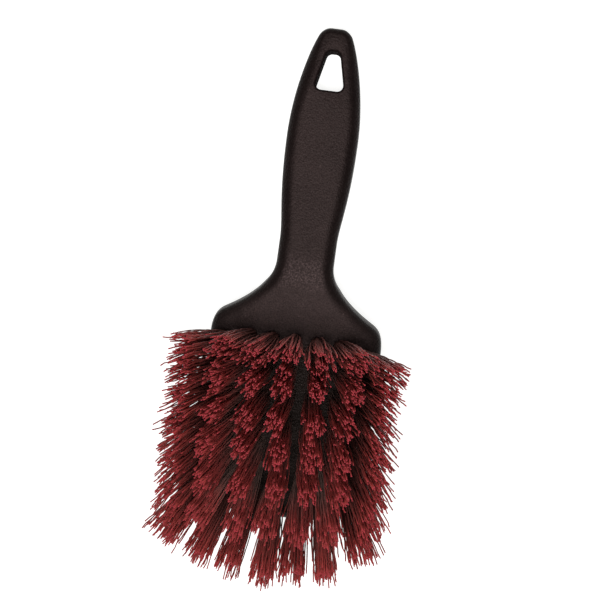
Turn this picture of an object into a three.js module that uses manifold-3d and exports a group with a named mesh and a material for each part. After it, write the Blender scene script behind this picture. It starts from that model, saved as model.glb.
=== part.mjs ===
import * as THREE from 'three';
import { mergeVertices } from 'three/addons/utils/BufferGeometryUtils.js';
import Module from 'manifold-3d';

// Short-handled wheel brush lying on its back, tufts up. Millimetres, +Z up, +X toward the hanging end.
// The moulding is drawn flat and then bent. In the flat drawing u runs from the hanging end to the nose,
// v runs across, and depth runs from the tuft side down to the back.

// Lengths along the moulding, from the hanging end.
const END_CORNER_AT = 3.8;
const GRIP_AT = 47.6;
const NECK_START = 92.0;
const NECK_END = 101.6;
const BEND_AT = 107.0;
const SHOULDER_AT = 127.6;
const FULL_WIDTH_AT = 140.0;
const BODY_LENGTH = 220.0;

// Half widths of the moulding.
const END_HALF = 2.2;
const END_CORNER_HALF = 7.4;
const GRIP_HALF = 15.35;
const NECK_HALF = 12.3;
const SHOULDER_HALF = 32.5;
const BLOCK_HALF = 37.2;
const NOSE_FLAT_HALF = 14.0;
const NOSE_RADIUS = 75.0;
const NOSE_CORNER = 12.0;

// Pull points of the outline's curves, as (u, v); the ones on a straight's line have its v.
const NOSE_LEAD_HALF = 19.2;
const CORNER_PULL = [3.6, 6.2];
const CORNER_LEAD = 5.5;
const SHOULDER_LEAD_AT = 132.7;
const SHOULDER_PULL = [129.7, 35.9];
const FLARE_PULL = [124.1, 26.9];
const FLARE_LEAD_AT = 115.3;
const WAIST_NECK_LEAD_AT = 83.1;
const WAIST_GRIP_LEAD_AT = 74.4;
const TAPER_LEAD_AT = 30.4;
const TAPER_PULL = [12.7, 11.3];
const END_PULL = [2.0, 6.7];
const END_LEAD_HALF = 4.6;

// Thickness and bend of the moulding.
const END_THICKNESS = 13.0;
const GRIP_THICKNESS = 17.0;
const BLOCK_THICKNESS = 18.5;
const BEND_ANGLE = THREE.MathUtils.degToRad(18.5);
const BEND_RADIUS = 42.0;

// Edge rounding: round at the hanging end, a wide ellipse along the tuft side, and on the back a tall ellipse at
// the shoulder that is small again at the nose, which the brush rests on.
const END_EDGE_RADIUS = 3.2;
const FRONT_INSET = 6.0;
const FRONT_DROP = 4.6;
const FRONT_FULL_AT = 20.0;
const BACK_INSET = 8.0;
const BACK_DROP = 12.0;
const BACK_EASE_START = 150.0;
const BACK_EASE_END = 205.0;
const BACK_NOSE_RADIUS = 4.6;
const EDGE_STEPS = 4;
const CURVE_STEPS = 11;
const CORNER_STEPS = 5;
const NOSE_STEPS = 3;
const NECK_STEPS = 2;
const STRAIGHT_STEP = 12.0;
const WELD_DISTANCE = 1e-5;

// Hang hole: a rounded trapezoid, narrow end toward the hanging end.
const HANG_START = 10.0;
const HANG_END = 27.1;
const HANG_NARROW_HALF = 3.2;
const HANG_WIDE_HALF = 5.95;
const HANG_CORNER = 2.6;
const HANG_CORNER_STEPS = 4;
const HANG_RIM = 1.0;

// Tufts: a grid of splayed bundles set in blind holes.
const ROWS = 7;
const COLUMNS = 7;
const FIRST_ROW_AT = 136.6;
const LAST_ROW_AT = 209.2;
const COLUMN_PITCH = 9.8;
const OUTER_FIRST_ROW_SHIFT = 2.6;
const ROW_SPLAY = THREE.MathUtils.degToRad(4.75);
const COLUMN_SPLAY = THREE.MathUtils.degToRad(5.2);
const NOSE_LEAN = THREE.MathUtils.degToRad(0.5);
const PARTING = THREE.MathUtils.degToRad(0.75);
const TRIM_LENGTH = 50.0;
const HOLE_DEPTH = 11.0;
const HOLE_RADIUS = 3.0;
const HOLE_SIDES = 12;
const FIT_GAP = 0.3;
const TUFT_SIDES = 12;
const TIP_RADIUS = 6.0;
const ROOT_SHOW = 1.0;
const MID_SHARE = 0.72;
const SHOULDER_SHARE = 0.94;
const CROWN_SHARE = 0.8;
const CROWN_RISE = 0.6;
const CLEARANCE = 5.0;
const LEVELLING_PASSES = 6;

const wasm = await Module();
wasm.setup();

// Black moulded plastic with a fine matte grain.
function blackPlastic() {
  return new THREE.MeshStandardMaterial({ name: 'black_plastic', color: 0x1d1817, roughness: 0.55 });
}

// Dark red synthetic filament.
function redFilament() {
  return new THREE.MeshStandardMaterial({ name: 'red_filament', color: 0x7d1a22, roughness: 0.5 });
}

// How far the rounded nose has fallen back at the distance v from the middle.
function noseSag(v) {
  return NOSE_RADIUS - Math.sqrt(NOSE_RADIUS ** 2 - v ** 2);
}

// One side of the plan outline, from the nose round to the hanging end, as curves joined end to end.
function sideCurves() {
  const cornerV = BLOCK_HALF - NOSE_CORNER;
  const cornerU = BODY_LENGTH - noseSag(cornerV);
  const flankEnd = cornerU - NOSE_CORNER;
  const p = (u, v) => new THREE.Vector2(u, v);
  const nose = new THREE.QuadraticBezierCurve(
    p(BODY_LENGTH, NOSE_FLAT_HALF),
    p(BODY_LENGTH, NOSE_LEAD_HALF),
    p(cornerU, cornerV));
  const corner = new THREE.CubicBezierCurve(
    p(cornerU, cornerV),
    p(cornerU - CORNER_PULL[0], BLOCK_HALF - CORNER_PULL[1]),
    p(cornerU - CORNER_LEAD, BLOCK_HALF),
    p(flankEnd, BLOCK_HALF));
  const flank = new THREE.LineCurve(p(flankEnd, BLOCK_HALF), p(FULL_WIDTH_AT, BLOCK_HALF));
  const shoulder = new THREE.CubicBezierCurve(
    p(FULL_WIDTH_AT, BLOCK_HALF),
    p(SHOULDER_LEAD_AT, BLOCK_HALF),
    p(...SHOULDER_PULL),
    p(SHOULDER_AT, SHOULDER_HALF));
  const flare = new THREE.CubicBezierCurve(
    p(SHOULDER_AT, SHOULDER_HALF),
    p(...FLARE_PULL),
    p(FLARE_LEAD_AT, NECK_HALF),
    p(NECK_END, NECK_HALF));
  const neck = new THREE.LineCurve(p(NECK_END, NECK_HALF), p(NECK_START, NECK_HALF));
  const waist = new THREE.CubicBezierCurve(
    p(NECK_START, NECK_HALF),
    p(WAIST_NECK_LEAD_AT, NECK_HALF),
    p(WAIST_GRIP_LEAD_AT, GRIP_HALF),
    p(GRIP_AT, GRIP_HALF));
  const taper = new THREE.CubicBezierCurve(
    p(GRIP_AT, GRIP_HALF),
    p(TAPER_LEAD_AT, GRIP_HALF),
    p(...TAPER_PULL),
    p(END_CORNER_AT, END_CORNER_HALF));
  const end = new THREE.CubicBezierCurve(
    p(END_CORNER_AT, END_CORNER_HALF),
    p(...END_PULL),
    p(0, END_LEAD_HALF),
    p(0, END_HALF));
  return { nose, corner, flank, shoulder, flare, neck, waist, taper, end };
}

// Points and inward normals down one side of the outline.
function sidePoints() {
  const curves = sideCurves();
  const steps = {
    nose: NOSE_STEPS,
    corner: CORNER_STEPS,
    flank: Math.round((curves.flank.v1.x - FULL_WIDTH_AT) / STRAIGHT_STEP),
    shoulder: CORNER_STEPS,
    flare: CURVE_STEPS,
    neck: NECK_STEPS,
    waist: CURVE_STEPS,
    taper: CURVE_STEPS,
    end: CORNER_STEPS,
  };
  const points = [];
  for (const [name, curve] of Object.entries(curves)) {
    const first = points.length ? 1 : 0;
    for (let i = first; i <= steps[name]; i += 1) {
      const tangent = curve.getTangent(i / steps[name]);
      points.push({ at: curve.getPoint(i / steps[name]), inward: new THREE.Vector2(-tangent.y, tangent.x) });
    }
  }
  return points;
}

// How far the rounding reaches in from the outline and down from the face, on the tuft side and on the back.
function frontRounding(u) {
  const t = THREE.MathUtils.smoothstep(u, 0, FRONT_FULL_AT);
  return {
    inset: THREE.MathUtils.lerp(END_EDGE_RADIUS, FRONT_INSET, t),
    drop: THREE.MathUtils.lerp(END_EDGE_RADIUS, FRONT_DROP, t),
  };
}

function backRounding(u) {
  const grown = THREE.MathUtils.smoothstep(u, 0, SHOULDER_AT);
  const eased = THREE.MathUtils.smoothstep(u, BACK_EASE_START, BACK_EASE_END);
  const small = THREE.MathUtils.lerp(END_EDGE_RADIUS, BACK_NOSE_RADIUS, grown);
  const t = grown * (1 - eased);
  return {
    inset: THREE.MathUtils.lerp(small, BACK_INSET, t),
    drop: THREE.MathUtils.lerp(small, BACK_DROP, t),
  };
}

// Thickness of the moulding at the distance u from the hanging end.
function thickness(u) {
  const grip = THREE.MathUtils.smoothstep(u, 0, GRIP_AT);
  const block = THREE.MathUtils.smoothstep(u, GRIP_AT, SHOULDER_AT);
  return END_THICKNESS + (GRIP_THICKNESS - END_THICKNESS) * grip + (BLOCK_THICKNESS - GRIP_THICKNESS) * block;
}

// Carries a point of the flat drawing to the bent moulding: straight handle, arc at the neck, straight block.
// The bend's own frame has its origin at the middle of the arc and the block and handle falling away evenly.
function bend(u, v, depth) {
  const arc = BEND_RADIUS * BEND_ANGLE;
  const along = u - BEND_AT;
  const onArc = THREE.MathUtils.clamp(along, -arc / 2, arc / 2);
  const beyond = along - onArc;
  const turn = onArc / BEND_RADIUS;
  const x = -BEND_RADIUS * Math.sin(turn) - beyond * Math.cos(turn) + depth * Math.sin(turn);
  const fall = Math.abs(beyond) * Math.sin(Math.abs(turn));
  const z = BEND_RADIUS * (Math.cos(turn) - 1) - fall - depth * Math.cos(turn);
  return new THREE.Vector3(x, v, z);
}

// A closed body from stacked outlines. Each ring lists one side's points from the nose to the hanging end,
// and its mirror image closes it, so a cap is a ladder of rungs that lie straight across the moulding.
function ladderBody(rings) {
  const count = rings[0].length;
  const positions = [];
  const index = [];
  for (const ring of rings) {
    for (const hand of [-1, 1]) {
      for (const { u, v, depth } of ring) {
        positions.push(...bend(u, hand * v, depth).toArray());
      }
    }
  }
  const left = (ring, i) => ring * 2 * count + i;
  const right = (ring, i) => left(ring, i) + count;
  const quad = (a, b, c, d) => index.push(a, b, c, a, c, d);
  for (let r = 0; r + 1 < rings.length; r += 1) {
    for (let i = 0; i + 1 < count; i += 1) {
      quad(left(r, i), left(r + 1, i), left(r + 1, i + 1), left(r, i + 1));
      quad(right(r, i), right(r, i + 1), right(r + 1, i + 1), right(r + 1, i));
    }
    const far = count - 1;
    quad(left(r, far), left(r + 1, far), right(r + 1, far), right(r, far));
    quad(right(r, 0), right(r + 1, 0), left(r + 1, 0), left(r, 0));
  }
  const last = rings.length - 1;
  for (let i = 0; i + 1 < count; i += 1) {
    quad(left(0, i), left(0, i + 1), right(0, i + 1), right(0, i));
    quad(left(last, i), right(last, i), right(last, i + 1), left(last, i + 1));
  }
  const geometry = new THREE.BufferGeometry();
  geometry.setAttribute('position', new THREE.Float32BufferAttribute(positions, 3));
  geometry.setIndex(index);
  return geometry;
}

// The moulding before it is drilled: flat faces, rounded edges all round.
function blankGeometry() {
  const side = sidePoints();
  const ring = (turn, fromBack) => side.map(({ at, inward }) => {
    const rounding = fromBack ? backRounding(at.x) : frontRounding(at.x);
    const inset = rounding.inset * (1 - Math.sin(turn));
    const u = at.x + inward.x * inset;
    const v = at.y + inward.y * inset;
    const drop = rounding.drop * (1 - Math.cos(turn));
    return { u, v, depth: fromBack ? thickness(u) - drop : drop };
  });
  const turns = Array.from({ length: EDGE_STEPS + 1 }, (_, i) => (Math.PI / 2) * (i / EDGE_STEPS));
  const face = turns.map((turn) => ring(turn, false));
  const back = turns.map((turn) => ring(turn, true)).reverse();
  return ladderBody([...face, ...back]);
}

// One side of the hang hole's outline, from its wide end to its narrow end, grown outward by grow.
function hangSide(grow) {
  const points = [];
  const radius = HANG_CORNER + grow;
  const slope = Math.atan2(HANG_WIDE_HALF - HANG_NARROW_HALF, HANG_END - HANG_START - 2 * HANG_CORNER);
  const side = Math.PI / 2 + slope;
  const corners = [
    { u: HANG_END - HANG_CORNER, v: HANG_WIDE_HALF - HANG_CORNER, from: 0, to: side },
    { u: HANG_START + HANG_CORNER, v: HANG_NARROW_HALF - HANG_CORNER, from: side, to: Math.PI },
  ];
  for (const corner of corners) {
    for (let i = 0; i <= HANG_CORNER_STEPS; i += 1) {
      const turn = THREE.MathUtils.lerp(corner.from, corner.to, i / HANG_CORNER_STEPS);
      points.push({ u: corner.u + radius * Math.cos(turn), v: corner.v + radius * Math.sin(turn) });
    }
  }
  return points;
}

// The space of the hang hole, flared at both rims.
function hangHoleGeometry() {
  const levels = [
    { grow: HANG_RIM + CLEARANCE, depthAt: () => -CLEARANCE },
    { grow: 0, depthAt: () => HANG_RIM },
    { grow: 0, depthAt: (u) => thickness(u) - HANG_RIM },
    { grow: HANG_RIM + CLEARANCE, depthAt: (u) => thickness(u) + CLEARANCE },
  ];
  return ladderBody(levels.map(({ grow, depthAt }) => (
    hangSide(grow).map(({ u, v }) => ({ u, v, depth: depthAt(u) }))
  )));
}

// Where a tuft leaves the block, and how it leans: row 1 is nearest the handle, column 1 at +Y.
function tuftPlacement(row, column) {
  const across = (COLUMNS + 1) / 2 - column;
  const v = across * COLUMN_PITCH;
  const outer = Math.abs(across) === (COLUMNS - 1) / 2;
  const first = FIRST_ROW_AT + (outer ? OUTER_FIRST_ROW_SHIFT : 0);
  const last = LAST_ROW_AT - noseSag(v);
  const u = THREE.MathUtils.lerp(first, last, (row - 1) / (ROWS - 1));
  const along = row - (ROWS + 1) / 2;
  const lengthwise = ROW_SPLAY * along + NOSE_LEAN * (along * along + 1);
  const parted = column > (COLUMNS + 1) / 2 ? -PARTING : PARTING;
  const sideways = COLUMN_SPLAY * across + parted;
  const axis = new THREE.Vector3(-Math.tan(lengthwise), Math.tan(sideways), 1).normalize();
  axis.applyAxisAngle(new THREE.Vector3(0, 1, 0), -BEND_ANGLE / 2);
  const turn = new THREE.Quaternion().setFromUnitVectors(new THREE.Vector3(0, 0, 1), axis);
  return new THREE.Matrix4().compose(bend(u, v, 0), turn, new THREE.Vector3(1, 1, 1));
}

// A simple flaring bundle: straight root in its hole, wide cut tip, standing on +Z from the block's face.
function tuftGeometry() {
  const rootRadius = HOLE_RADIUS - FIT_GAP;
  const profile = [
    new THREE.Vector2(0, FIT_GAP - HOLE_DEPTH),
    new THREE.Vector2(rootRadius, FIT_GAP - HOLE_DEPTH),
    new THREE.Vector2(rootRadius, ROOT_SHOW),
    new THREE.Vector2(TIP_RADIUS * MID_SHARE, TRIM_LENGTH / 2),
    new THREE.Vector2(TIP_RADIUS, TRIM_LENGTH * SHOULDER_SHARE),
    new THREE.Vector2(TIP_RADIUS * CROWN_SHARE, TRIM_LENGTH),
    new THREE.Vector2(0, TRIM_LENGTH + CROWN_RISE),
  ];
  return mergeVertices(positionsOnly(new THREE.LatheGeometry(profile, TUFT_SIDES).rotateX(Math.PI / 2)));
}

// The drilled hole of a tuft, on the same axis.
function boreGeometry() {
  const length = HOLE_DEPTH + CLEARANCE;
  const bore = new THREE.CylinderGeometry(HOLE_RADIUS, HOLE_RADIUS, length, HOLE_SIDES);
  bore.rotateX(Math.PI / 2);
  bore.translate(0, 0, length / 2 - HOLE_DEPTH);
  return bore;
}

// A copy of a geometry that carries nothing but its corner positions.
function positionsOnly(geometry) {
  const plain = new THREE.BufferGeometry();
  plain.setAttribute('position', geometry.getAttribute('position').clone());
  plain.setIndex(geometry.getIndex().clone());
  return plain;
}

// A three.js geometry as a solid that can be cut.
function toSolid(geometry) {
  const plain = mergeVertices(positionsOnly(geometry), WELD_DISTANCE);
  return new wasm.Manifold(new wasm.Mesh({
    numProp: 3,
    vertProperties: new Float32Array(plain.getAttribute('position').array),
    triVerts: new Uint32Array(plain.getIndex().array),
  }));
}

// A cut solid as a three.js geometry.
function toGeometry(solid) {
  const mesh = solid.getMesh();
  const geometry = new THREE.BufferGeometry();
  geometry.setAttribute('position', new THREE.BufferAttribute(mesh.vertProperties.slice(), 3));
  geometry.setIndex(new THREE.BufferAttribute(mesh.triVerts.slice(), 1));
  geometry.computeVertexNormals();
  return geometry;
}

// Every tuft's name and placement, row by row.
function tuftGrid() {
  const grid = [];
  for (let row = 1; row <= ROWS; row += 1) {
    for (let column = 1; column <= COLUMNS; column += 1) {
      grid.push({ name: `tuft_r${row}_c${column}`, placement: tuftPlacement(row, column) });
    }
  }
  return grid;
}

// The one-piece handle and tuft block, with its hang hole and a blind hole for each tuft.
function handleBlock(grid) {
  let solid = toSolid(blankGeometry()).subtract(toSolid(hangHoleGeometry()));
  for (const { placement } of grid) {
    solid = solid.subtract(toSolid(boreGeometry().applyMatrix4(placement)));
  }
  const mesh = new THREE.Mesh(toGeometry(solid), blackPlastic());
  mesh.name = 'handle_block';
  return mesh;
}

// One tuft as a mesh.
function tuft({ name, placement }) {
  const geometry = tuftGeometry().applyMatrix4(placement);
  geometry.computeVertexNormals();
  const mesh = new THREE.Mesh(geometry, redFilament());
  mesh.name = name;
  return mesh;
}

// The turn about Y that lets the hanging end and the nose both touch the table.
function restingTurn(geometry) {
  const resting = geometry.clone();
  let total = 0;
  for (let pass = 0; pass < LEVELLING_PASSES; pass += 1) {
    const lowest = { end: new THREE.Vector3(0, 0, Infinity), nose: new THREE.Vector3(0, 0, Infinity) };
    const positions = resting.getAttribute('position');
    for (let i = 0; i < positions.count; i += 1) {
      const point = new THREE.Vector3().fromBufferAttribute(positions, i);
      const support = point.x > 0 ? 'end' : 'nose';
      if (point.z < lowest[support].z) {
        lowest[support] = point;
      }
    }
    const turn = Math.atan2(lowest.end.z - lowest.nose.z, lowest.end.x - lowest.nose.x);
    resting.rotateY(turn);
    total += turn;
  }
  return total;
}

const grid = tuftGrid();
const group = new THREE.Group();
group.name = 'wheel_brush';
group.add(handleBlock(grid));
for (const entry of grid) {
  group.add(tuft(entry));
}

const turn = restingTurn(group.children[0].geometry);
for (const mesh of group.children) {
  mesh.geometry.rotateY(turn);
}
const box = new THREE.Box3().setFromObject(group, true);
const middle = box.getCenter(new THREE.Vector3());
for (const mesh of group.children) {
  mesh.geometry.translate(-middle.x, -middle.y, -box.min.z);
}

export default group;
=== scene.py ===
import math

import bmesh
import bpy
import numpy as np
from mathutils import Matrix, Vector


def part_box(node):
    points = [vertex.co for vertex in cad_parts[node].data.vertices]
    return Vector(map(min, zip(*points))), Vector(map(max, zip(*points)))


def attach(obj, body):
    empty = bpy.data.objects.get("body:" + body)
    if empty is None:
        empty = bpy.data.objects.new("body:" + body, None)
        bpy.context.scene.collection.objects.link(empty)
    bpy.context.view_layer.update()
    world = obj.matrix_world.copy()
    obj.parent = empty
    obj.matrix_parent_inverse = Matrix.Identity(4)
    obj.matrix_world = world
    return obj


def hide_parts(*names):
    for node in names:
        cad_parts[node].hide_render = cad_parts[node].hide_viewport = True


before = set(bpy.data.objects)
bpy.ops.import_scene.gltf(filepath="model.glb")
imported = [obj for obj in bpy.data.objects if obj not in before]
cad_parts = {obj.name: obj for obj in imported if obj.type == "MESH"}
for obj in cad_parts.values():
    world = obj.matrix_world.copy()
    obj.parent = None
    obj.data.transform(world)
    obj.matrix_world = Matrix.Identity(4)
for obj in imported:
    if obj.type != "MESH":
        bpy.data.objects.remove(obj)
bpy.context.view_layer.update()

MM = 0.001

# The moulding is drawn flat and then bent. In millimetres, u runs along it from the hanging end, v across it
# and depth down from the tuft side.
END_CORNER = (3.8, 7.4)
END_HALF = 2.2
GRIP_AT = 47.6
GRIP_HALF = 15.35
NECK_START = 92.0
NECK_END = 101.6
NECK_HALF = 12.3
SHOULDER = (127.6, 32.5)
FULL_WIDTH_AT = 140.0
BLOCK_HALF = 37.2
BODY_LENGTH = 220.0
NOSE_FLAT_HALF = 14.0
NOSE_RADIUS = 75.0
NOSE_CORNER = 12.0

# Pull points of the outline's curves; the ones on a straight's line have its v.
NOSE_LEAD_HALF = 19.2
CORNER_PULL = (3.6, 6.2)
CORNER_LEAD = 5.5
SHOULDER_LEAD_AT = 132.7
SHOULDER_PULL = (129.7, 35.9)
FLARE_PULL = (124.1, 26.9)
FLARE_LEAD_AT = 115.3
WAIST_NECK_LEAD_AT = 83.1
WAIST_GRIP_LEAD_AT = 74.4
TAPER_LEAD_AT = 30.4
TAPER_PULL = (12.7, 11.3)
END_PULL = (2.0, 6.7)
END_LEAD_HALF = 4.6

# Thickness, bend and edge rounding: a wide ellipse on the tuft side, a tall one on the back of the shoulders.
END_THICKNESS = 13.0
GRIP_THICKNESS = 17.0
BLOCK_THICKNESS = 18.5
BEND_AT = 107.0
BEND_ANGLE = math.radians(18.5)
BEND_RADIUS = 42.0
REST_TURN = math.radians(1.7134)
END_EDGE_RADIUS = 3.2
FRONT_INSET = 6.0
FRONT_DROP = 4.6
FRONT_FULL_AT = 20.0
BACK_INSET = 8.0
BACK_DROP = 12.0
BACK_EASE = (150.0, 205.0)
BACK_NOSE_RADIUS = 4.6
EDGE_STEPS = 12
OUTLINE_STEP = 1.0
SHARP_EDGE = math.radians(32.0)

# The grain covers the flat faces and fades out as an edge turns away from them, sooner on the handle than on
# the block. BLOCK_BEGINS is the stretch, past the middle of the bend, over which the one becomes the other.
GRAIN_FADE = math.radians(25.0)
BLOCK_GRAIN_FADE = math.radians(63.0)
BLOCK_BEGINS = (4.0, 16.0)
FLAT_ENOUGH = math.cos(math.radians(2.0))
# Faces turned up more than this are the tuft side, which gets the painted shade among the tufts.
FRONT_FACING = 0.85
# Where along the moulding the painted highlight at the neck is centred.
NECK_HIGHLIGHT_AT = 106.0

# Hanging hole.
HANG_START = 10.0
HANG_END = 27.1
HANG_NARROW_HALF = 3.2
HANG_WIDE_HALF = 5.95
HANG_CORNER = 2.6
HANG_CORNER_STEPS = 14
HANG_RIM = 1.1
HANG_RIM_STEPS = 7
CUT_PAST = 3.0
WALL_STEEPNESS = 0.75

# Tufts.
ROWS = 7
COLUMNS = 7
PARTED_AFTER = 4
FIRST_ROW_AT = 136.6
LAST_ROW_AT = 209.2
COLUMN_PITCH = 9.8
OUTER_FIRST_ROW_SHIFT = 2.6
ROW_SPLAY = math.radians(4.75)
COLUMN_SPLAY = math.radians(5.2)
NOSE_LEAN = math.radians(0.5)
PARTING = math.radians(0.75)
TRIM_LENGTH = 50.0
HOLE_DEPTH = 11.0
HOLE_RADIUS = 3.0
HOLE_SIDES = 28
BORE_PAST = 6.0

# Filaments: each is folded in half over the staple, and its two legs open out to the trim. Pairs run
# lengthwise, toward the hanging end, and across, in the tuft's own frame.
HAIRPINS = 48
GOLDEN_SHARE = 0.618034
FILAMENT_RADIUS = 0.28
FILAMENT_SIDES = 6
BUNDLE_RADIUS = 2.7
FOLD_DEPTH = 9.4
FOLD_RISE = 0.25
FOLD_PINCH = 0.45
OFF_AXIS = (0.3, 0.9, 0.1)

# One leg: its heights in the hole, the first one clear of it, and its bow and crimp.
LEG_IN_HOLE = [-FOLD_DEPTH + 1.4, -4.0, 0.0]
LEG_CLEAR_AT = 3.0
LEG_STEPS = 14
BOW = 0.65
CRIMP = (0.1, 0.26)
CRIMP_LENGTH = (8.0, 12.0)
CRIMP_FULL_AT = 6.0

# How many times wider a tuft is at its tips than at its roots. The outer columns open widest, and the last
# rows widen toward the nose and into the parting. The first row is a curtain toward the handle, and its tips
# reach no further than CURTAIN_REACH, less up to CURTAIN_STAGGER.
FAN = np.array([2.15, 1.58])
OUTER_FAN = np.array([3.5, 2.05])
CURTAIN_FAN = np.array([1.9, 2.4])
CURTAIN_REACH = 5.3
CURTAIN_STAGGER = 1.6
NOSE_WIDENING = np.array([0.0, 0.3])
NOSE_WIDENS_FROM = 4.5
PARTING_CLOSING = 0.6
PARTING_CLOSES_FROM = 4.0

# Sideways sweep of the tips of some columns, and lengthwise and sideways sweep of some tufts at the nose.
SWEPT = {1: 2.4, 2: 1.6, 7: -1.8}
NOSE_SWEPT = {(6, 1): (2.0, -1.2), (6, 7): (2.0, 1.6), (7, 1): (4.5, -2.8), (7, 7): (4.5, 2.6),
              (7, 2): (-1.2, -0.6), (7, 4): (-3.0, 0.5), (7, 5): (-1.2, 1.2), (7, 6): (-1.0, 0.6)}
SWEEP_VARIES = 0.8

# Strays: some legs reach wide and may droop, and some are cut short. More are wide on the free side of a
# tuft, where no other stands, and fewer are short in a tuft that has one across.
WIDE_SHARE = 0.26
WIDE_SHARE_FREE = 0.2
WIDE_REACH = (1.1, 1.8)
WIDE_ACROSS = 0.5
REACH_VARIES = 0.1
DROOPS_PAST = 1.2
TIP_SCATTER = 0.75
LENGTH_VARIES = 0.7
SHORT_SHARE = 0.42
FREE_SIDE_TRIM = 0.17
SHORTEST = 0.7

# Each tuft is trimmed on a slant, by this share of its splay.
LEAN_TRIM = 0.5

# Tips gather in small clumps. The spreads are the powers by which the legs open on their way up.
CLUMPS = 11
CLUMP_SPREAD = 0.56
CLUMP_RISE = 0.9
CLUMP_PULL = 0.35
OUTER_CLUMP_PULL = 0.2
EARLY_SPREAD = (0.62, 0.9)
EVEN_SPREAD = (0.8, 1.06)

# A filament's painted shade follows its height to this power: a high one keeps the painted dark of the roots
# far up.
RIM_DARKNESS = 1.5
NEAR_NOSE_DARKNESS = 1.15
FIELD_DARKNESS = 0.75

# Staples of flat wire: half their length and thickness, their height, and their turned-up ends.
STAPLE_HALF = 2.25
STAPLE_HALF_THICK = 0.16
STAPLE_TALL = 1.5
STAPLE_END = 0.1
STAPLE_CURL = 0.5
STAPLE_BEVEL = 0.06


# ---------------------------------------------------------------- moulding

def smoothstep(x, low, high):
    t = min(1.0, max(0.0, (x - low) / (high - low)))
    return t * t * (3 - 2 * t)


def thickness(u):
    grip = smoothstep(u, 0.0, GRIP_AT) * (GRIP_THICKNESS - END_THICKNESS)
    block = smoothstep(u, GRIP_AT, SHOULDER[0]) * (BLOCK_THICKNESS - GRIP_THICKNESS)
    return END_THICKNESS + grip + block


def nose_sag(v):
    return NOSE_RADIUS - math.sqrt(NOSE_RADIUS ** 2 - v * v)


def curve_points(control):
    """Points about OUTLINE_STEP apart on a Bezier curve of any degree, with the inward normal at each."""
    control = np.array(control, float)
    degree = len(control) - 1
    length = np.linalg.norm(np.diff(control, axis=0), axis=1).sum()
    count = max(3, round(length / OUTLINE_STEP))
    t = np.linspace(0.0, 1.0, count + 1)[:, None]

    def blend(points, n):
        return sum(math.comb(n, k) * (1 - t) ** (n - k) * t ** k * points[k] for k in range(n + 1))

    place = blend(control, degree)
    tangent = blend(np.diff(control, axis=0), degree - 1)
    tangent /= np.linalg.norm(tangent, axis=1)[:, None]
    return place, np.stack([-tangent[:, 1], tangent[:, 0]], axis=1)


def side_outline():
    """One side of the plan outline from the nose to the hanging end: (u, v) and inward normals."""
    corner_v = BLOCK_HALF - NOSE_CORNER
    corner_u = BODY_LENGTH - nose_sag(corner_v)
    flank_end = corner_u - NOSE_CORNER
    curves = [
        [(BODY_LENGTH, NOSE_FLAT_HALF), (BODY_LENGTH, NOSE_LEAD_HALF), (corner_u, corner_v)],
        [(corner_u, corner_v), (corner_u - CORNER_PULL[0], BLOCK_HALF - CORNER_PULL[1]),
         (corner_u - CORNER_LEAD, BLOCK_HALF), (flank_end, BLOCK_HALF)],
        [(flank_end, BLOCK_HALF), (FULL_WIDTH_AT, BLOCK_HALF)],
        [(FULL_WIDTH_AT, BLOCK_HALF), (SHOULDER_LEAD_AT, BLOCK_HALF), SHOULDER_PULL, SHOULDER],
        [SHOULDER, FLARE_PULL, (FLARE_LEAD_AT, NECK_HALF), (NECK_END, NECK_HALF)],
        [(NECK_END, NECK_HALF), (NECK_START, NECK_HALF)],
        [(NECK_START, NECK_HALF), (WAIST_NECK_LEAD_AT, NECK_HALF), (WAIST_GRIP_LEAD_AT, GRIP_HALF),
         (GRIP_AT, GRIP_HALF)],
        [(GRIP_AT, GRIP_HALF), (TAPER_LEAD_AT, GRIP_HALF), TAPER_PULL, END_CORNER],
        [END_CORNER, END_PULL, (0.0, END_LEAD_HALF), (0.0, END_HALF)],
    ]
    places, normals = [], []
    for i, control in enumerate(curves):
        place, normal = curve_points(control)
        start = 1 if i else 0
        places.append(place[start:])
        normals.append(normal[start:])
    return np.concatenate(places), np.concatenate(normals)


def bend(u, v, depth):
    """The flat drawing carried to the bent moulding, in millimetres, about the middle of the bend."""
    arc = BEND_RADIUS * BEND_ANGLE
    along = u - BEND_AT
    on_arc = min(arc / 2, max(-arc / 2, along))
    beyond = along - on_arc
    turn = on_arc / BEND_RADIUS
    x = -BEND_RADIUS * math.sin(turn) - beyond * math.cos(turn) + depth * math.sin(turn)
    z = BEND_RADIUS * (math.cos(turn) - 1) - abs(beyond) * math.sin(abs(turn)) - depth * math.cos(turn)
    return Vector((x, v, z))


def ladder(bm, rings):
    """A closed body from stacked outlines. A ring is one side's (u, v, depth) list, closed by its mirror."""
    grid = []
    for ring in rings:
        near = [bm.verts.new(bend(u, -v, d)) for u, v, d in ring]
        far = [bm.verts.new(bend(u, v, d)) for u, v, d in ring]
        grid.append(near + far[::-1])
    loop = len(grid[0])
    for upper, lower in zip(grid, grid[1:]):
        for i in range(loop):
            j = (i + 1) % loop
            bm.faces.new((upper[i], lower[i], lower[j], upper[j]))
    for ring, order in ((grid[0], 1), (grid[-1], -1)):
        half = loop // 2
        for i in range(half - 1):
            rung = (ring[i], ring[i + 1], ring[loop - 2 - i], ring[loop - 1 - i])
            bm.faces.new(rung[::order])


def mesh_object(name, bm):
    mesh = bpy.data.meshes.new(name)
    bm.normal_update()
    bm.to_mesh(mesh)
    bm.free()
    piece = bpy.data.objects.new(name, mesh)
    bpy.context.scene.collection.objects.link(piece)
    return piece


def front_rounding(u):
    """How far the tuft side's rounding reaches in from the outline and down from the face."""
    t = smoothstep(u, 0.0, FRONT_FULL_AT)
    reach = END_EDGE_RADIUS + (FRONT_INSET - END_EDGE_RADIUS) * t
    fall = END_EDGE_RADIUS + (FRONT_DROP - END_EDGE_RADIUS) * t
    return reach, fall


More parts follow.
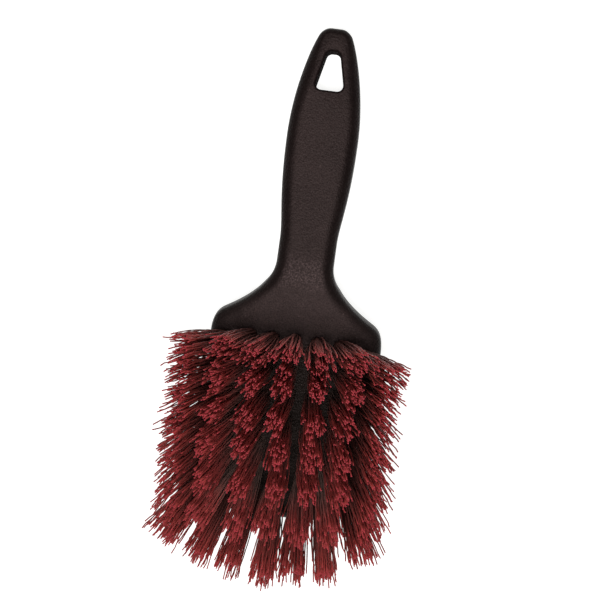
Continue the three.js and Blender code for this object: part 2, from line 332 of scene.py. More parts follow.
def back_rounding(u):
    """The same on the back: tall at the shoulders and small again at the nose."""
    grown = smoothstep(u, 0.0, SHOULDER[0])
    small = END_EDGE_RADIUS + (BACK_NOSE_RADIUS - END_EDGE_RADIUS) * grown
    t = grown * (1 - smoothstep(u, *BACK_EASE))
    return small + (BACK_INSET - small) * t, small + (BACK_DROP - small) * t


def blank():
    """The undrilled moulding."""
    places, normals = side_outline()

    def ring(turn, from_back):
        out = []
        for (u, v), (nu, nv) in zip(places, normals):
            reach, fall = back_rounding(u) if from_back else front_rounding(u)
            inset = reach * (1 - math.sin(turn))
            drop = fall * (1 - math.cos(turn))
            pu, pv = u + nu * inset, v + nv * inset
            out.append((pu, pv, thickness(pu) - drop if from_back else drop))
        return out

    turns = [math.pi / 2 * i / EDGE_STEPS for i in range(EDGE_STEPS + 1)]
    rings = [ring(t, False) for t in turns] + [ring(t, True) for t in reversed(turns)]
    bm = bmesh.new()
    ladder(bm, rings)
    bmesh.ops.recalc_face_normals(bm, faces=bm.faces)
    return mesh_object("handle_and_block", bm)


def hang_side(grow):
    """One side of the hanging hole's outline, grown outward: an arc at each of its two corners."""
    slope = math.atan2(HANG_WIDE_HALF - HANG_NARROW_HALF, HANG_END - HANG_START - 2 * HANG_CORNER)
    radius = HANG_CORNER + grow
    points = []
    for corner_u, corner_v, start, stop in (
        (HANG_END - HANG_CORNER, HANG_WIDE_HALF - HANG_CORNER, 0.0, math.pi / 2 + slope),
        (HANG_START + HANG_CORNER, HANG_NARROW_HALF - HANG_CORNER, math.pi / 2 + slope, math.pi),
    ):
        for i in range(HANG_CORNER_STEPS + 1):
            turn = start + (stop - start) * i / HANG_CORNER_STEPS
            points.append((corner_u + radius * math.cos(turn), corner_v + radius * math.sin(turn)))
    return points


def hang_cutter():
    """The hanging hole's space, with its rims rounded over."""
    levels = [(-CUT_PAST, HANG_RIM + CUT_PAST)]
    for i in range(HANG_RIM_STEPS + 1):
        turn = math.pi / 2 * i / HANG_RIM_STEPS
        levels.append((HANG_RIM * (1 - math.cos(turn)), HANG_RIM * (1 - math.sin(turn))))
    rings = [[(u, v, depth) for u, v in hang_side(grow)] for depth, grow in levels]
    rings += [[(u, v, thickness(u) - depth) for u, v in hang_side(grow)] for depth, grow in reversed(levels)]
    bm = bmesh.new()
    ladder(bm, rings)
    bmesh.ops.recalc_face_normals(bm, faces=bm.faces)
    return mesh_object("hang_cutter", bm)


# ---------------------------------------------------------------- tuft grid

def tuft_frame(row, column):
    """A tuft's own frame (+Z up its axis) in the moulding's, in millimetres, and its two angles of splay."""
    across = (COLUMNS + 1) / 2 - column
    v = across * COLUMN_PITCH
    outer = abs(across) == (COLUMNS - 1) / 2
    first = FIRST_ROW_AT + (OUTER_FIRST_ROW_SHIFT if outer else 0.0)
    last = LAST_ROW_AT - nose_sag(v)
    u = first + (last - first) * (row - 1) / (ROWS - 1)
    along = row - (ROWS + 1) / 2
    lengthwise = ROW_SPLAY * along + NOSE_LEAN * (along * along + 1)
    sideways = COLUMN_SPLAY * across + (-PARTING if column > (COLUMNS + 1) / 2 else PARTING)
    axis = Vector((-math.tan(lengthwise), math.tan(sideways), 1.0)).normalized()
    axis.rotate(Matrix.Rotation(-BEND_ANGLE / 2, 3, "Y"))
    turn = Vector((0, 0, 1)).rotation_difference(axis)
    return Matrix.LocRotScale(bend(u, v, 0.0), turn, None), lengthwise, sideways


def bores():
    """Every tuft's bored hole as one cutter."""
    bm = bmesh.new()
    for row in range(1, ROWS + 1):
        for column in range(1, COLUMNS + 1):
            place = tuft_frame(row, column)[0]
            length = HOLE_DEPTH + BORE_PAST
            middle = Matrix.Translation((0, 0, length / 2 - HOLE_DEPTH))
            bmesh.ops.create_cone(bm, cap_ends=True, segments=HOLE_SIDES, radius1=HOLE_RADIUS,
                                  radius2=HOLE_RADIUS, depth=length, matrix=place @ middle)
    return mesh_object("bore_cutter", bm)


def cut(piece, tool):
    """Cut the tool's space out of the piece and delete the tool."""
    modifier = piece.modifiers.new("cut", "BOOLEAN")
    modifier.operation = "DIFFERENCE"
    modifier.solver = "EXACT"
    modifier.object = tool
    bpy.context.view_layer.update()
    depsgraph = bpy.context.evaluated_depsgraph_get()
    result = bpy.data.meshes.new_from_object(piece.evaluated_get(depsgraph))
    piece.modifiers.clear()
    old = piece.data
    piece.data = result
    bpy.data.meshes.remove(old)
    bpy.data.objects.remove(tool)


def smooth_by_angle(piece, limit):
    """Shade the piece smooth, apart from edges sharper than the limit."""
    bm = bmesh.new()
    bm.from_mesh(piece.data)
    for face in bm.faces:
        face.smooth = True
    for edge in bm.edges:
        edge.smooth = len(edge.link_faces) == 2 and edge.calc_face_angle(0.0) < limit
    bm.to_mesh(piece.data)
    bm.free()


def mark_recess(piece):
    """Mark the walls of the hanging hole, which stay rough as moulded where the outside is rubbed smooth."""
    near, far = bend(HANG_END + 2 * HANG_RIM, 0.0, 0.0).x, bend(HANG_START - 2 * HANG_RIM, 0.0, 0.0).x
    half = HANG_WIDE_HALF + HANG_RIM
    slack = thickness(HANG_END) * math.sin(BEND_ANGLE / 2)
    walls = []
    for face in piece.data.polygons:
        x, y, _ = face.center
        steep = abs(face.normal.z) < WALL_STEEPNESS
        walls.append(float(steep and abs(y) < half and near - slack < x < far))
    piece.data.attributes.new("recess", "FLOAT", "FACE").data.foreach_set("value", walls)


def mark_grain(piece):
    """Mark the grain, which fades out round the smooth edges, and the faces of the tuft side."""
    mesh = piece.data
    half = BEND_ANGLE / 2
    values = [0.0] * len(mesh.loops)
    for face in mesh.polygons:
        for loop, vertex in zip(face.loop_indices, face.vertices):
            x = mesh.vertices[vertex].co.x
            turn = math.asin(min(math.sin(half), max(-math.sin(half), -x / BEND_RADIUS)))
            up = Vector((-math.sin(turn), 0.0, math.cos(turn)))
            lies_flat = abs(face.normal.dot(up)) > FLAT_ENOUGH
            tilt = 0.0 if lies_flat else math.acos(min(1.0, abs(mesh.vertices[vertex].normal.dot(up))))
            on_block = smoothstep(-x, *BLOCK_BEGINS)
            fade = GRAIN_FADE + (BLOCK_GRAIN_FADE - GRAIN_FADE) * on_block
            values[loop] = 1.0 - smoothstep(tilt, 0.0, fade)
    mesh.attributes.new("grain", "FLOAT", "CORNER").data.foreach_set("value", values)
    fronts = [float(face.normal.z > FRONT_FACING) for face in mesh.polygons]
    mesh.attributes.new("front", "FLOAT", "FACE").data.foreach_set("value", fronts)


def row_frame(points):
    """Matrix that sets the moulding down as the CAD node lies, from millimetres about the bend to metres."""
    turn = Matrix.Rotation(REST_TURN, 4, "Y")
    turned = np.array([(turn @ Vector(p))[:] for p in points])
    low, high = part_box("handle_block")
    shift = Vector((high.x - turned[:, 0].max() * MM, 0.0, low.z - turned[:, 2].min() * MM))
    return Matrix.Translation(shift) @ Matrix.Scale(MM, 4) @ turn


# ---------------------------------------------------------------- filaments

def tube_mesh(paths, sides, radius):
    """Closed round tubes along the given paths: vertices, faces, and per-vertex and per-face attributes."""
    verts, faces, along, strand, cut_end = [], [], [], [], []
    angles = np.linspace(0, 2 * math.pi, sides, endpoint=False)
    base = 0
    for points, marks, tone in paths:
        count = len(points)
        tangent = np.gradient(points, axis=0)
        tangent /= np.linalg.norm(tangent, axis=1)[:, None]
        side = np.cross(tangent[0], OFF_AXIS)
        rings = []
        for k in range(count):
            side = side - tangent[k] * (side @ tangent[k])
            side = side / np.linalg.norm(side)
            other = np.cross(tangent[k], side)
            spokes = np.cos(angles)[:, None] * side + np.sin(angles)[:, None] * other
            rings.append(points[k] + radius * spokes)
        verts.append(np.concatenate(rings))
        along += [m for m in marks for _ in range(sides)]
        strand += [tone] * (count * sides)
        for k in range(count - 1):
            for s in range(sides):
                a, b = base + k * sides + s, base + k * sides + (s + 1) % sides
                faces.append((a, b, b + sides, a + sides))
        cut_end += [0.0] * ((count - 1) * sides)
        faces.append(tuple(base + s for s in reversed(range(sides))))
        faces.append(tuple(base + (count - 1) * sides + s for s in range(sides)))
        cut_end += [1.0, 1.0]
        base += count * sides
    return np.concatenate(verts), faces, along, strand, cut_end


def leg(rng, root, tip, height, spread):
    """One leg of a hairpin, from deep in the hole to its cut end, and how far up each of its points is."""
    bow = rng.normal(0.0, BOW, 2)
    phase, crimp_turn = rng.uniform(0, 2 * math.pi, 2)
    crimp = rng.uniform(*CRIMP)
    wave = rng.uniform(*CRIMP_LENGTH)
    heights = np.concatenate([LEG_IN_HOLE, np.linspace(LEG_CLEAR_AT, height, LEG_STEPS)])
    share = np.clip(heights / height, 0.0, None)
    lateral = root + (tip - root) * (share ** spread)[:, None] + bow * (4 * share * (1 - share))[:, None]
    grown = crimp * np.clip(heights / CRIMP_FULL_AT, 0.0, 1.0)
    sway = grown * np.sin(2 * math.pi * heights / wave + phase)
    lateral = lateral + sway[:, None] * np.array([math.cos(crimp_turn), math.sin(crimp_turn)])
    return np.column_stack([lateral, heights]), share


class Tuft:
    """How one tuft stands, opens out and takes its painted shade."""

    def __init__(self, row, column):
        self.place, lengthwise, sideways = tuft_frame(row, column)
        self.rng = np.random.default_rng(1000 * row + column)
        self.row = row
        outer = column in (1, COLUMNS)
        self.lean = np.array([-math.tan(lengthwise), math.tan(sideways)]) * LEAN_TRIM

        self.free_side = np.array([-float(row == ROWS), float(column == 1) - float(column == COLUMNS)])
        if row == 1:
            self.free_side[1] = 1.0 if column <= PARTED_AFTER else -1.0
        self.parting_side = {PARTED_AFTER: -1, PARTED_AFTER + 1: 1}.get(column, 0)
        self.into_parting = 1.0 + PARTING_CLOSING * smoothstep(row, PARTING_CLOSES_FROM, ROWS)

        fan = OUTER_FAN if outer else CURTAIN_FAN if row == 1 else FAN
        self.fan = fan * (1 + NOSE_WIDENING * smoothstep(row, NOSE_WIDENS_FROM, ROWS))
        self.spread = EARLY_SPREAD if outer or row == 1 else EVEN_SPREAD
        self.sweep = (self.rng.normal(0, SWEEP_VARIES, 2) + np.array([0.0, SWEPT.get(column, 0.0)])
                      + np.array(NOSE_SWEPT.get((row, column), (0.0, 0.0))))

        self.clumps = self.rng.normal(0.0, CLUMP_SPREAD, (CLUMPS, 2)) * BUNDLE_RADIUS * self.fan
        self.clump_rise = self.rng.normal(0.0, CLUMP_RISE, CLUMPS)
        self.clump_pull = OUTER_CLUMP_PULL if outer else CLUMP_PULL

        if outer or row in (1, ROWS):
            self.darkness = RIM_DARKNESS
        else:
            self.darkness = NEAR_NOSE_DARKNESS if row == ROWS - 1 else FIELD_DARKNESS

    def stray(self, root):
        """Where a leg would end and how high, before the clumps. It strays most to the tuft's free side."""
        rng = self.rng
        outward = float(np.clip(root @ self.free_side, 0.0, BUNDLE_RADIUS)) / BUNDLE_RADIUS
        wide = rng.uniform() < WIDE_SHARE + WIDE_SHARE_FREE * outward
        reach = rng.uniform(*WIDE_REACH) if wide else rng.normal(1.0, REACH_VARIES)
        across = 1 + (reach - 1) * (WIDE_ACROSS + (1 - WIDE_ACROSS) * outward)
        tip = root * self.fan * np.array([reach, across]) + rng.normal(0, TIP_SCATTER, 2)
        if tip[1] * self.parting_side > 0:
            tip[1] *= self.into_parting
        length = TRIM_LENGTH + rng.normal(0, LENGTH_VARIES)
        if rng.uniform() < SHORT_SHARE - FREE_SIDE_TRIM * abs(self.free_side[1]):
            length *= rng.uniform(SHORTEST, 1.0)
        away = np.linalg.norm(tip - root)
        leaned = math.sqrt(max(length ** 2 - away ** 2, 1.0))
        droop = rng.uniform(0.0, 1.0) if reach > DROOPS_PAST else 0.0
        return tip, length + (leaned - length) * droop - float(tip @ self.lean)

    def cut_end(self, root, tone):
        """Where a leg ends and how high, drawn into the nearest clump and swept with its tuft."""
        tip, height = self.stray(root)
        nearest = int(np.argmin(np.linalg.norm(self.clumps - tip, axis=1)))
        tip = tip + (self.clumps[nearest] - tip) * self.clump_pull
        if self.row == 1:
            tip[0] = min(tip[0], CURTAIN_REACH - CURTAIN_STAGGER * tone)
        return tip + self.sweep, height + self.clump_rise[nearest]

    def filaments(self):
        """The folded filaments, each a path from one cut end down round the staple and up to the other."""
        paths = []
        for i in range(HAIRPINS):
            reach = BUNDLE_RADIUS * math.sqrt((i + 0.5) / HAIRPINS)
            turn = math.pi * ((i * GOLDEN_SHARE) % 1.0) - math.pi / 2
            tone = self.rng.uniform(0, 1)
            legs = []
            for hand in (1, -1):
                root = np.array([hand * reach * math.cos(turn), reach * math.sin(turn)])
                tip, height = self.cut_end(root, tone)
                legs.append(leg(self.rng, root, tip, height, self.rng.uniform(*self.spread)))
            (a, share_a), (b, share_b) = legs
            fold_y = (a[0][1] + b[0][1]) / 2
            fold = [(a[0][0] * FOLD_PINCH, fold_y, FOLD_RISE - FOLD_DEPTH), (0.0, fold_y, -FOLD_DEPTH),
                    (b[0][0] * FOLD_PINCH, fold_y, FOLD_RISE - FOLD_DEPTH)]
            points = np.concatenate([a[::-1], fold, b])
            # The height of each point, raised to the tuft's power, sets its painted shade.
            marks = np.concatenate([share_a[::-1], np.zeros(len(fold)), share_b]) ** self.darkness
            paths.append((points, marks, tone))
        return paths


def tuft_object(name, row, column, to_row):
    shape = Tuft(row, column)
    verts, faces, along, strand, cut_end = tube_mesh(shape.filaments(), FILAMENT_SIDES, FILAMENT_RADIUS)
    full = np.array(to_row @ shape.place)
    verts = verts @ full[:3, :3].T + full[:3, 3]
    mesh = bpy.data.meshes.new(name)
    mesh.from_pydata(verts.tolist(), [], faces)
    marks = (("along", "POINT", along), ("strand", "POINT", strand), ("cut_end", "FACE", cut_end))
    for label, domain, values in marks:
        mesh.attributes.new(label, "FLOAT", domain).data.foreach_set("value", values)
    mesh.polygons.foreach_set("use_smooth", [flag == 0.0 for flag in cut_end])
    mesh.update()
    piece = bpy.data.objects.new(name, mesh)
    bpy.context.scene.collection.objects.link(piece)
    return piece


# ---------------------------------------------------------------- staples

def staples(to_row):
    """Flat wire anchors across the folds, one in each hole, with turned-up ends."""
    end = STAPLE_HALF + STAPLE_END
    outline = [(-end, STAPLE_CURL), (-STAPLE_HALF, 0.0), (STAPLE_HALF, 0.0), (end, STAPLE_CURL)]
    bm = bmesh.new()
    for row in range(1, ROWS + 1):
        for column in range(1, COLUMNS + 1):
            place = to_row @ tuft_frame(row, column)[0]
            rings = []
            for y, lift in outline:
                foot = -FOLD_DEPTH + FILAMENT_RADIUS + lift
                corners = ((-STAPLE_HALF_THICK, foot), (STAPLE_HALF_THICK, foot),
                           (STAPLE_HALF_THICK, foot + STAPLE_TALL), (-STAPLE_HALF_THICK, foot + STAPLE_TALL))
                rings.append([bm.verts.new(place @ Vector((x, y, z))) for x, z in corners])
            for a, b in zip(rings, rings[1:]):
                for i in range(4):
                    j = (i + 1) % 4
                    bm.faces.new((a[i], a[j], b[j], b[i]))
            bm.faces.new(rings[0][::-1])
            bm.faces.new(rings[-1])
    bmesh.ops.recalc_face_normals(bm, faces=bm.faces)
    bmesh.ops.bevel(bm, geom=list(bm.edges), offset=STAPLE_BEVEL * MM, segments=1, affect="EDGES")
    return mesh_object("anchor_staples", bm)


# ---------------------------------------------------------------- materials
# Colours are linear; shade ramps, specks and painted light multiply another colour, and the shade along the
# filaments and among the tufts is painted. Lengths are in metres, as a material sees them, and the scales of
# noises are per metre.

PLASTIC_TONES = [(0.3, (0.0200, 0.0135, 0.0129)), (0.7, (0.0268, 0.0181, 0.0173))]
PLASTIC_SPECKS = [(0.32, (0.55, 0.55, 0.55)), (0.72, (1.55, 1.55, 1.55))]
SMOOTH_EDGE_SHADES = [(0.0, (0.31, 0.29, 0.285)), (1.0, (1.0, 1.0, 1.0))]
SCUFF_SPECKS = [(0.67, (1.0, 1.0, 1.0)), (0.73, (1.6, 1.6, 1.62))]
# Bright specks of the painted highlight at the neck.
NECK_HIGHLIGHT_SPECKS = [(0.42, (0.82, 0.82, 0.82)), (0.64, (2.1, 2.1, 2.15))]
# Painted light that lifts the block's face past the neck, where the tufts shade it.
BLOCK_PAINTED_LIGHT = (1.36, 1.35, 1.36)
# Painted shade on the tuft side among the tufts.
AMONG_TUFTS_PAINTED_SHADE = (0.37, 0.38, 0.33)
PLASTIC_ROUGHNESS = (0.28, 0.42)
PLASTIC_SHEEN = 0.06
PLASTIC_SHEEN_TINT = (1.0, 0.8, 0.76, 1.0)

# The plastic's grain: pebbles with a fine noise over them. FINE_SPAN is where most of that noise lies.
PEBBLE_SCALE = 1150.0
PEBBLE_HEIGHT = -0.7
FINE_SCALE = 1900.0
FINE_HEIGHT = 0.6
FINE_SPAN = (0.3, 0.7)
GRAIN_STRENGTH = 0.8
GRAIN_HEIGHT = 0.0003
HIGHLIGHT_SPECK_SCALE = 1250.0
SCUFF_SCALE = 520.0
BROAD_SCALE = 60.0

# The grained face narrows toward the hanging end, inside a wider smooth edge.
END_FACE_HALF = 0.0063
END_FACE_WIDENS = 0.3
END_SIDE_FADE = (0.0035, 0.0075)
END_TIP_FADE = (0.003, 0.0065)
END_STOPS = (0.022, 0.036)
END_GRAIN_LEAST = 0.38

# Along X, where the painted light on the block begins and is full, from the neck, and where the painted shade
# among the tufts begins and is full, from the first row.
PAINTED_LIGHT_PAST_NECK = (0.003, -0.014)
PAINTED_SHADE_FROM_ROW = (0.001, -0.004)
# How fast the painted neck highlight fades along X, and its strength.
NECK_HIGHLIGHT_FADE_PER_METRE = 110.0
NECK_HIGHLIGHT_STRENGTH = 1.6

STRAND_REDS = [(0.0, (0.31, 0.044, 0.042)), (0.55, (0.41, 0.058, 0.055)), (1.0, (0.51, 0.072, 0.068))]
CUT_END_REDS = [(0.0, (0.21, 0.018, 0.027)), (1.0, (0.35, 0.030, 0.047))]
# Painted shade along the filaments, dark at the hole and lighter toward the end, for the shade the tufts cast
# on one another. The rim's tufts catch more light and get their own, darker ramp.
RIM_PAINTED_SHADES = [(0.0, (0.20, 0.56, 0.50)), (0.3, (0.25, 0.58, 0.53)), (0.62, (0.57, 0.86, 0.80)),
              (0.85, (0.86, 0.97, 0.92)), (1.0, (0.57, 0.50, 0.52))]
FIELD_PAINTED_SHADES = [(0.0, (0.46, 2.2, 2.0)), (0.3, (0.45, 1.9, 1.75)), (0.62, (0.74, 1.55, 1.45)),
                (0.85, (0.98, 1.20, 1.16)), (1.0, (0.60, 0.56, 0.58))]

BRISTLE_ROUGHNESS = (0.5, 0.62)
BRISTLE_SHEEN = 0.2
BRISTLE_SHEEN_TINT = (1.0, 0.8, 0.75, 1.0)
BRISTLE_GRAIN_SCALE = 900.0
BRISTLE_GRAIN_STRENGTH = 0.25
BRISTLE_GRAIN_HEIGHT = 0.00006

WIRE_GREYS = [(0.3, (0.32, 0.33, 0.34)), (0.7, (0.52, 0.53, 0.54))]
WIRE_ROUGHNESS = (0.3, 0.5)
WIRE_SCALE = 1400.0
WIRE_GRAIN_STRENGTH = 0.2
WIRE_GRAIN_HEIGHT = 0.00005
FLOOR_GREYS = [(0.0, (0.34, 0.34, 0.33)), (1.0, (0.38, 0.38, 0.37))]
FLOOR_SCALE = 3.0
FLOOR_GLOW = (1.0, 1.0, 0.99, 1.0)
FLOOR_BRIGHTNESS = 0.88


class Nodes:
    """A small helper for building a material's node tree."""

    def __init__(self, name):
        self.material = bpy.data.materials.new(name)
        self.material.use_nodes = True
        self.tree = self.material.node_tree
        self.shader = next(n for n in self.tree.nodes if n.type == "BSDF_PRINCIPLED")

    def put(self, value, socket):
        """Link a socket to the input, or set the input to a plain value."""
        if isinstance(value, bpy.types.NodeSocket):
            self.tree.links.new(value, socket)
        else:
            socket.default_value = value

    def add(self, kind, inputs=None, **settings):
        node = self.tree.nodes.new(kind)
        for key, value in settings.items():
            setattr(node, key, value)
        for key, value in (inputs or {}).items():
            self.put(value, node.inputs[key])
        return node

    def set(self, **inputs):
        """Set inputs of the surface shader."""
        for key, value in inputs.items():
            self.put(value, self.shader.inputs[key.replace("_", " ")])

    def ramp(self, factor, stops):
        node = self.add("ShaderNodeValToRGB", {"Fac": factor})
        elements = node.color_ramp.elements
        while len(elements) < len(stops):
            elements.new(0.5)
        for element, (position, colour) in zip(elements, stops):
            element.position = position
            element.color = (*colour, 1.0)
        return node.outputs["Color"]

    def mix(self, factor, a, b, mode="MIX"):
        node = self.add("ShaderNodeMix", data_type="RGBA", blend_type=mode)
        for socket, value in ((node.inputs[0], factor), (node.inputs[6], a), (node.inputs[7], b)):
            self.put((*value, 1.0) if isinstance(value, tuple) else value, socket)
        return node.outputs[2]

    def times(self, a, b):
        """One colour multiplied by another."""
        return self.mix(1.0, a, b, "MULTIPLY")

    def math(self, operation, *values):
        node = self.add("ShaderNodeMath", operation=operation)
        for socket, value in zip(node.inputs, values):
            self.put(value, socket)
        return node.outputs[0]

    def fade(self, value, start, stop, low=0.0, high=1.0):
        """The value carried from the span between start and stop to the one between low and high."""
        ends = {"From Min": start, "From Max": stop, "To Min": low, "To Max": high}
        return self.add("ShaderNodeMapRange", {"Value": value, **ends}).outputs["Result"]

    def place(self):
        return self.add("ShaderNodeTexCoord").outputs["Object"]

    def noise(self, scale, detail, roughness):
        inputs = {"Vector": self.place(), "Scale": scale, "Detail": detail, "Roughness": roughness}
        return self.add("ShaderNodeTexNoise", inputs).outputs["Fac"]

    def mark(self, name):
        """A value that the mesh carries."""
        return self.add("ShaderNodeAttribute", attribute_name=name).outputs["Fac"]

    def bump(self, height, strength, distance):
        inputs = {"Height": height, "Strength": strength, "Distance": distance}
        return self.add("ShaderNodeBump", inputs).outputs["Normal"]


def end_grain(n, past_end, across):
    """How much of the grain is left toward the hanging end, where the edges are rounded further in."""
    half_width = n.math("ADD", n.math("MULTIPLY", past_end, END_FACE_WIDENS), END_FACE_HALF)
    inside = n.math("SUBTRACT", half_width, n.math("ABSOLUTE", across))
    lit = n.math("MULTIPLY", n.fade(inside, *END_SIDE_FADE), n.fade(past_end, *END_TIP_FADE))
    share = n.math("MAXIMUM", lit, n.fade(past_end, *END_STOPS))
    return n.math("ADD", n.math("MULTIPLY", share, 1.0 - END_GRAIN_LEAST), END_GRAIN_LEAST)


def pebbled(n, fine):
    """The bump of the moulded grain."""
    cells = n.add("ShaderNodeTexVoronoi", {"Vector": n.place(), "Scale": PEBBLE_SCALE}, feature="F1")
    pebbles = n.math("MULTIPLY", cells.outputs["Distance"], PEBBLE_HEIGHT)
    return n.bump(n.math("ADD", pebbles, n.math("MULTIPLY", fine, FINE_HEIGHT)), GRAIN_STRENGTH, GRAIN_HEIGHT)


def painted_neck_highlight(n, colour, along, neck_x, grain):
    """The colour with a painted highlight at the neck: bright specks on the grain where the bend catches the
    light.
    """
    off_neck = n.math("ABSOLUTE", n.math("SUBTRACT", along, neck_x))
    at_neck = n.math("SUBTRACT", 1.0, n.math("MULTIPLY", off_neck, NECK_HIGHLIGHT_FADE_PER_METRE))
    neck_highlight = n.math("MULTIPLY", n.math("MAXIMUM", at_neck, 0.0), grain)
    highlight_specks = n.ramp(n.noise(HIGHLIGHT_SPECK_SCALE, detail=1.5, roughness=0.5), NECK_HIGHLIGHT_SPECKS)
    strength = n.math("MINIMUM", n.math("MULTIPLY", neck_highlight, NECK_HIGHLIGHT_STRENGTH), 1.0)
    return n.mix(strength, colour, n.times(colour, highlight_specks))


def plastic(end_x, neck_x, block_x):
    """Black moulded plastic, brownish where the light lies on it, with a pebbled spark-eroded grain.

    It is given where along X the hanging end, the neck with its painted highlight and the first row of tufts
    are.
    """
    n = Nodes("black_plastic")
    split = n.add("ShaderNodeSeparateXYZ", {"Vector": n.place()})
    along = split.outputs["X"]
    past_end = n.math("SUBTRACT", end_x, along)
    grain = n.math("MULTIPLY", n.mark("grain"), end_grain(n, past_end, split.outputs["Y"]))

    fine = n.noise(FINE_SCALE, detail=3.0, roughness=0.6)
    broad = n.noise(BROAD_SCALE, detail=4.0, roughness=0.6)
    scuffs = n.noise(SCUFF_SCALE, detail=2.0, roughness=0.6)
    tone = n.ramp(broad, PLASTIC_TONES)
    colour = n.times(n.times(tone, n.ramp(fine, PLASTIC_SPECKS)), n.ramp(grain, SMOOTH_EDGE_SHADES))
    colour = n.times(colour, n.ramp(scuffs, SCUFF_SPECKS))
    # Painted highlight at the neck bend, as bright specks on the grain.
    colour = painted_neck_highlight(n, colour, along, neck_x, grain)

    # Painted light on the block's grained face past the neck, lifting the shade the tufts cast on it.
    past_neck = n.fade(along, *(neck_x + shift for shift in PAINTED_LIGHT_PAST_NECK))
    colour = n.mix(n.math("MULTIPLY", past_neck, grain), colour, n.times(colour, BLOCK_PAINTED_LIGHT))
    # Painted shade on the tuft side among the tufts, where they shade the face.
    among = n.fade(along, *(block_x + shift for shift in PAINTED_SHADE_FROM_ROW))
    shade_among_tufts = n.math("MULTIPLY", among, n.mark("front"))
    colour = n.mix(shade_among_tufts, colour, n.times(tone, AMONG_TUFTS_PAINTED_SHADE))

    rough = n.fade(fine, *FINE_SPAN, *PLASTIC_ROUGHNESS)
    n.set(Base_Color=colour, Roughness=n.math("MAXIMUM", rough, n.mark("recess")), Normal=pebbled(n, fine))
    n.set(Specular_IOR_Level=PLASTIC_SHEEN, Specular_Tint=PLASTIC_SHEEN_TINT)
    return n.material


def bristle(name, painted_shades):
    """Dark red filament with brighter cut ends, and painted shade that runs from the hole up to the end."""
    n = Nodes(name)
    strand, cut_end = n.mark("strand"), n.mark("cut_end")
    # Painted shade along the filament, dark at the hole.
    shaft = n.times(n.ramp(strand, STRAND_REDS), n.ramp(n.mark("along"), painted_shades))
    grain = n.noise(BRISTLE_GRAIN_SCALE, detail=3.0, roughness=0.6)
    n.set(Base_Color=n.mix(cut_end, shaft, n.ramp(strand, CUT_END_REDS)))
    n.set(Roughness=n.fade(cut_end, 0.0, 1.0, *BRISTLE_ROUGHNESS))
    n.set(Normal=n.bump(grain, BRISTLE_GRAIN_STRENGTH, BRISTLE_GRAIN_HEIGHT))
    n.set(Specular_IOR_Level=BRISTLE_SHEEN, Specular_Tint=BRISTLE_SHEEN_TINT)
    return n.material


def wire():
    """Galvanised flat wire."""
    n = Nodes("staple_wire")
    cloud = n.noise(WIRE_SCALE, detail=4.0, roughness=0.6)
    n.set(Base_Color=n.ramp(cloud, WIRE_GREYS), Metallic=1.0)
    n.set(Roughness=n.fade(cloud, 0.0, 1.0, *WIRE_ROUGHNESS))
    n.set(Normal=n.bump(cloud, WIRE_GRAIN_STRENGTH, WIRE_GRAIN_HEIGHT))
    return n.material


def pale_floor():
    """A pale sweep with a barely visible mottling."""
    n = Nodes("pale_floor")
    cloud = n.noise(FLOOR_SCALE, detail=2.0, roughness=0.5)
    n.set(Base_Color=n.ramp(cloud, FLOOR_GREYS), Roughness=0.9, Specular_IOR_Level=0.1)
    n.set(Emission_Color=FLOOR_GLOW, Emission_Strength=FLOOR_BRIGHTNESS)
    return n.material


# ---------------------------------------------------------------- building

def add_moulding():
    """The handle and block in one, set down on the CAD node. Returns the matrix that set it down."""
    moulding = blank()
    cut(moulding, hang_cutter())
    cut(moulding, bores())
    mark_recess(moulding)
    mark_grain(moulding)
    to_row = row_frame([v.co for v in moulding.data.vertices])
    moulding.data.transform(to_row)
    smooth_by_angle(moulding, SHARP_EDGE)
    end_x, neck_x, block_x = ((to_row @ bend(u, 0.0, 0.0)).x for u in (0.0, NECK_HIGHLIGHT_AT, FIRST_ROW_AT))
    moulding.data.materials.clear()
    moulding.data.materials.append(plastic(end_x, neck_x, block_x))
    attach(moulding, "root")
    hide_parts("handle_block")
    return to_row


def add_tufts(to_row):
    """The tufts. Those on the rim catch more light than those in the field, and get a copy of the red with
    darker painted shade.
    """
    rim_red = bristle("red_bristle_rim", RIM_PAINTED_SHADES)
    field_red = bristle("red_bristle", FIELD_PAINTED_SHADES)
    for row in range(1, ROWS + 1):
        for column in range(1, COLUMNS + 1):
            node = f"tuft_r{row}_c{column}"
            tuft = tuft_object(f"bristles_r{row}_c{column}", row, column, to_row)
            on_rim = row in (1, ROWS) or column in (1, COLUMNS)
            tuft.data.materials.append(rim_red if on_rim else field_red)
            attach(tuft, "root")
            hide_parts(node)


def add_staples(to_row):
    anchors = staples(to_row)
    anchors.data.materials.append(wire())
    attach(anchors, "root")


TO_ROW = add_moulding()
add_tufts(TO_ROW)
add_staples(TO_ROW)


# ---------------------------------------------------------------- stage, in metres

FLOOR_HALF = 4.0
SOFTBOX_AT = (-0.21, 0.0, 2.2)
SOFTBOX_AIM = (-0.02, 0.0, 0.03)
SOFTBOX_SIZE = 0.9
SOFTBOX_POWER = 51.0
WALL_GLOW = (0.10, (1.0, 1.0, 1.0, 1.0))
ROOM_DIM = (0.24, (0.25, 0.25, 0.25, 1.0))
CAMERA_AT = (0.16453, -0.04613, 1.01927)
CAMERA_RIGHT = (0.12506, -0.98988, -0.06700)
CAMERA_UP = (0.97860, 0.13419, -0.15597)
VIEW_ANGLE = math.radians(14.62)


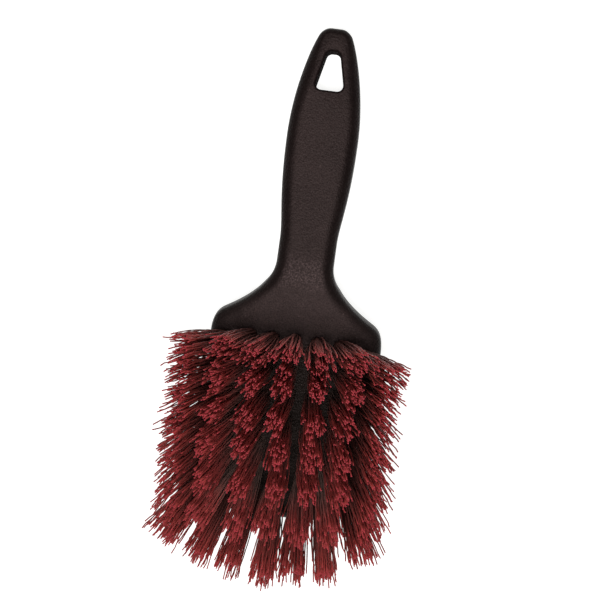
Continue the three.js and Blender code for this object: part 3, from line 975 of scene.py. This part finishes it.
def floor():
    bm = bmesh.new()
    bmesh.ops.create_grid(bm, x_segments=2, y_segments=2, size=FLOOR_HALF)
    piece = mesh_object("floor", bm)
    piece.data.materials.append(pale_floor())


def softbox():
    data = bpy.data.lights.new("softbox", "AREA")
    data.shape = "RECTANGLE"
    data.size = data.size_y = SOFTBOX_SIZE
    data.energy = SOFTBOX_POWER
    light = bpy.data.objects.new("softbox", data)
    light.location = SOFTBOX_AT
    aim = Vector(SOFTBOX_AIM) - Vector(SOFTBOX_AT)
    light.rotation_euler = aim.to_track_quat("-Z", "Y").to_euler()
    bpy.context.scene.collection.objects.link(light)


def studio_world():
    """A dim room whose walls are lit just above the floor."""
    world = bpy.data.worlds.new("studio")
    bpy.context.scene.world = world
    world.use_nodes = True
    tree = world.node_tree
    background = next(n for n in tree.nodes if n.type == "BACKGROUND")
    where = tree.nodes.new("ShaderNodeTexCoord")
    split = tree.nodes.new("ShaderNodeSeparateXYZ")
    ramp = tree.nodes.new("ShaderNodeValToRGB")
    tree.links.new(where.outputs["Generated"], split.inputs["Vector"])
    tree.links.new(split.outputs["Z"], ramp.inputs["Fac"])
    tree.links.new(ramp.outputs["Color"], background.inputs["Color"])
    for element, (position, colour) in zip(ramp.color_ramp.elements, (WALL_GLOW, ROOM_DIM)):
        element.position = position
        element.color = colour
    background.inputs["Strength"].default_value = 1.0


def camera():
    """A camera above the brush, with the hanging end at the top of the picture."""
    view = bpy.data.cameras.new("camera")
    view.angle = VIEW_ANGLE
    view.clip_start = 0.05
    view.clip_end = 20.0
    right = Vector(CAMERA_RIGHT)
    back = right.cross(Vector(CAMERA_UP)).normalized()
    up = back.cross(right).normalized()
    turn = Matrix((right.normalized(), up, back)).transposed().to_4x4()
    piece = bpy.data.objects.new("camera", view)
    piece.matrix_world = Matrix.Translation(CAMERA_AT) @ turn
    bpy.context.scene.collection.objects.link(piece)
    bpy.context.scene.camera = piece


floor()
softbox()
studio_world()
camera()
bpy.context.scene.view_settings.view_transform = "Standard"
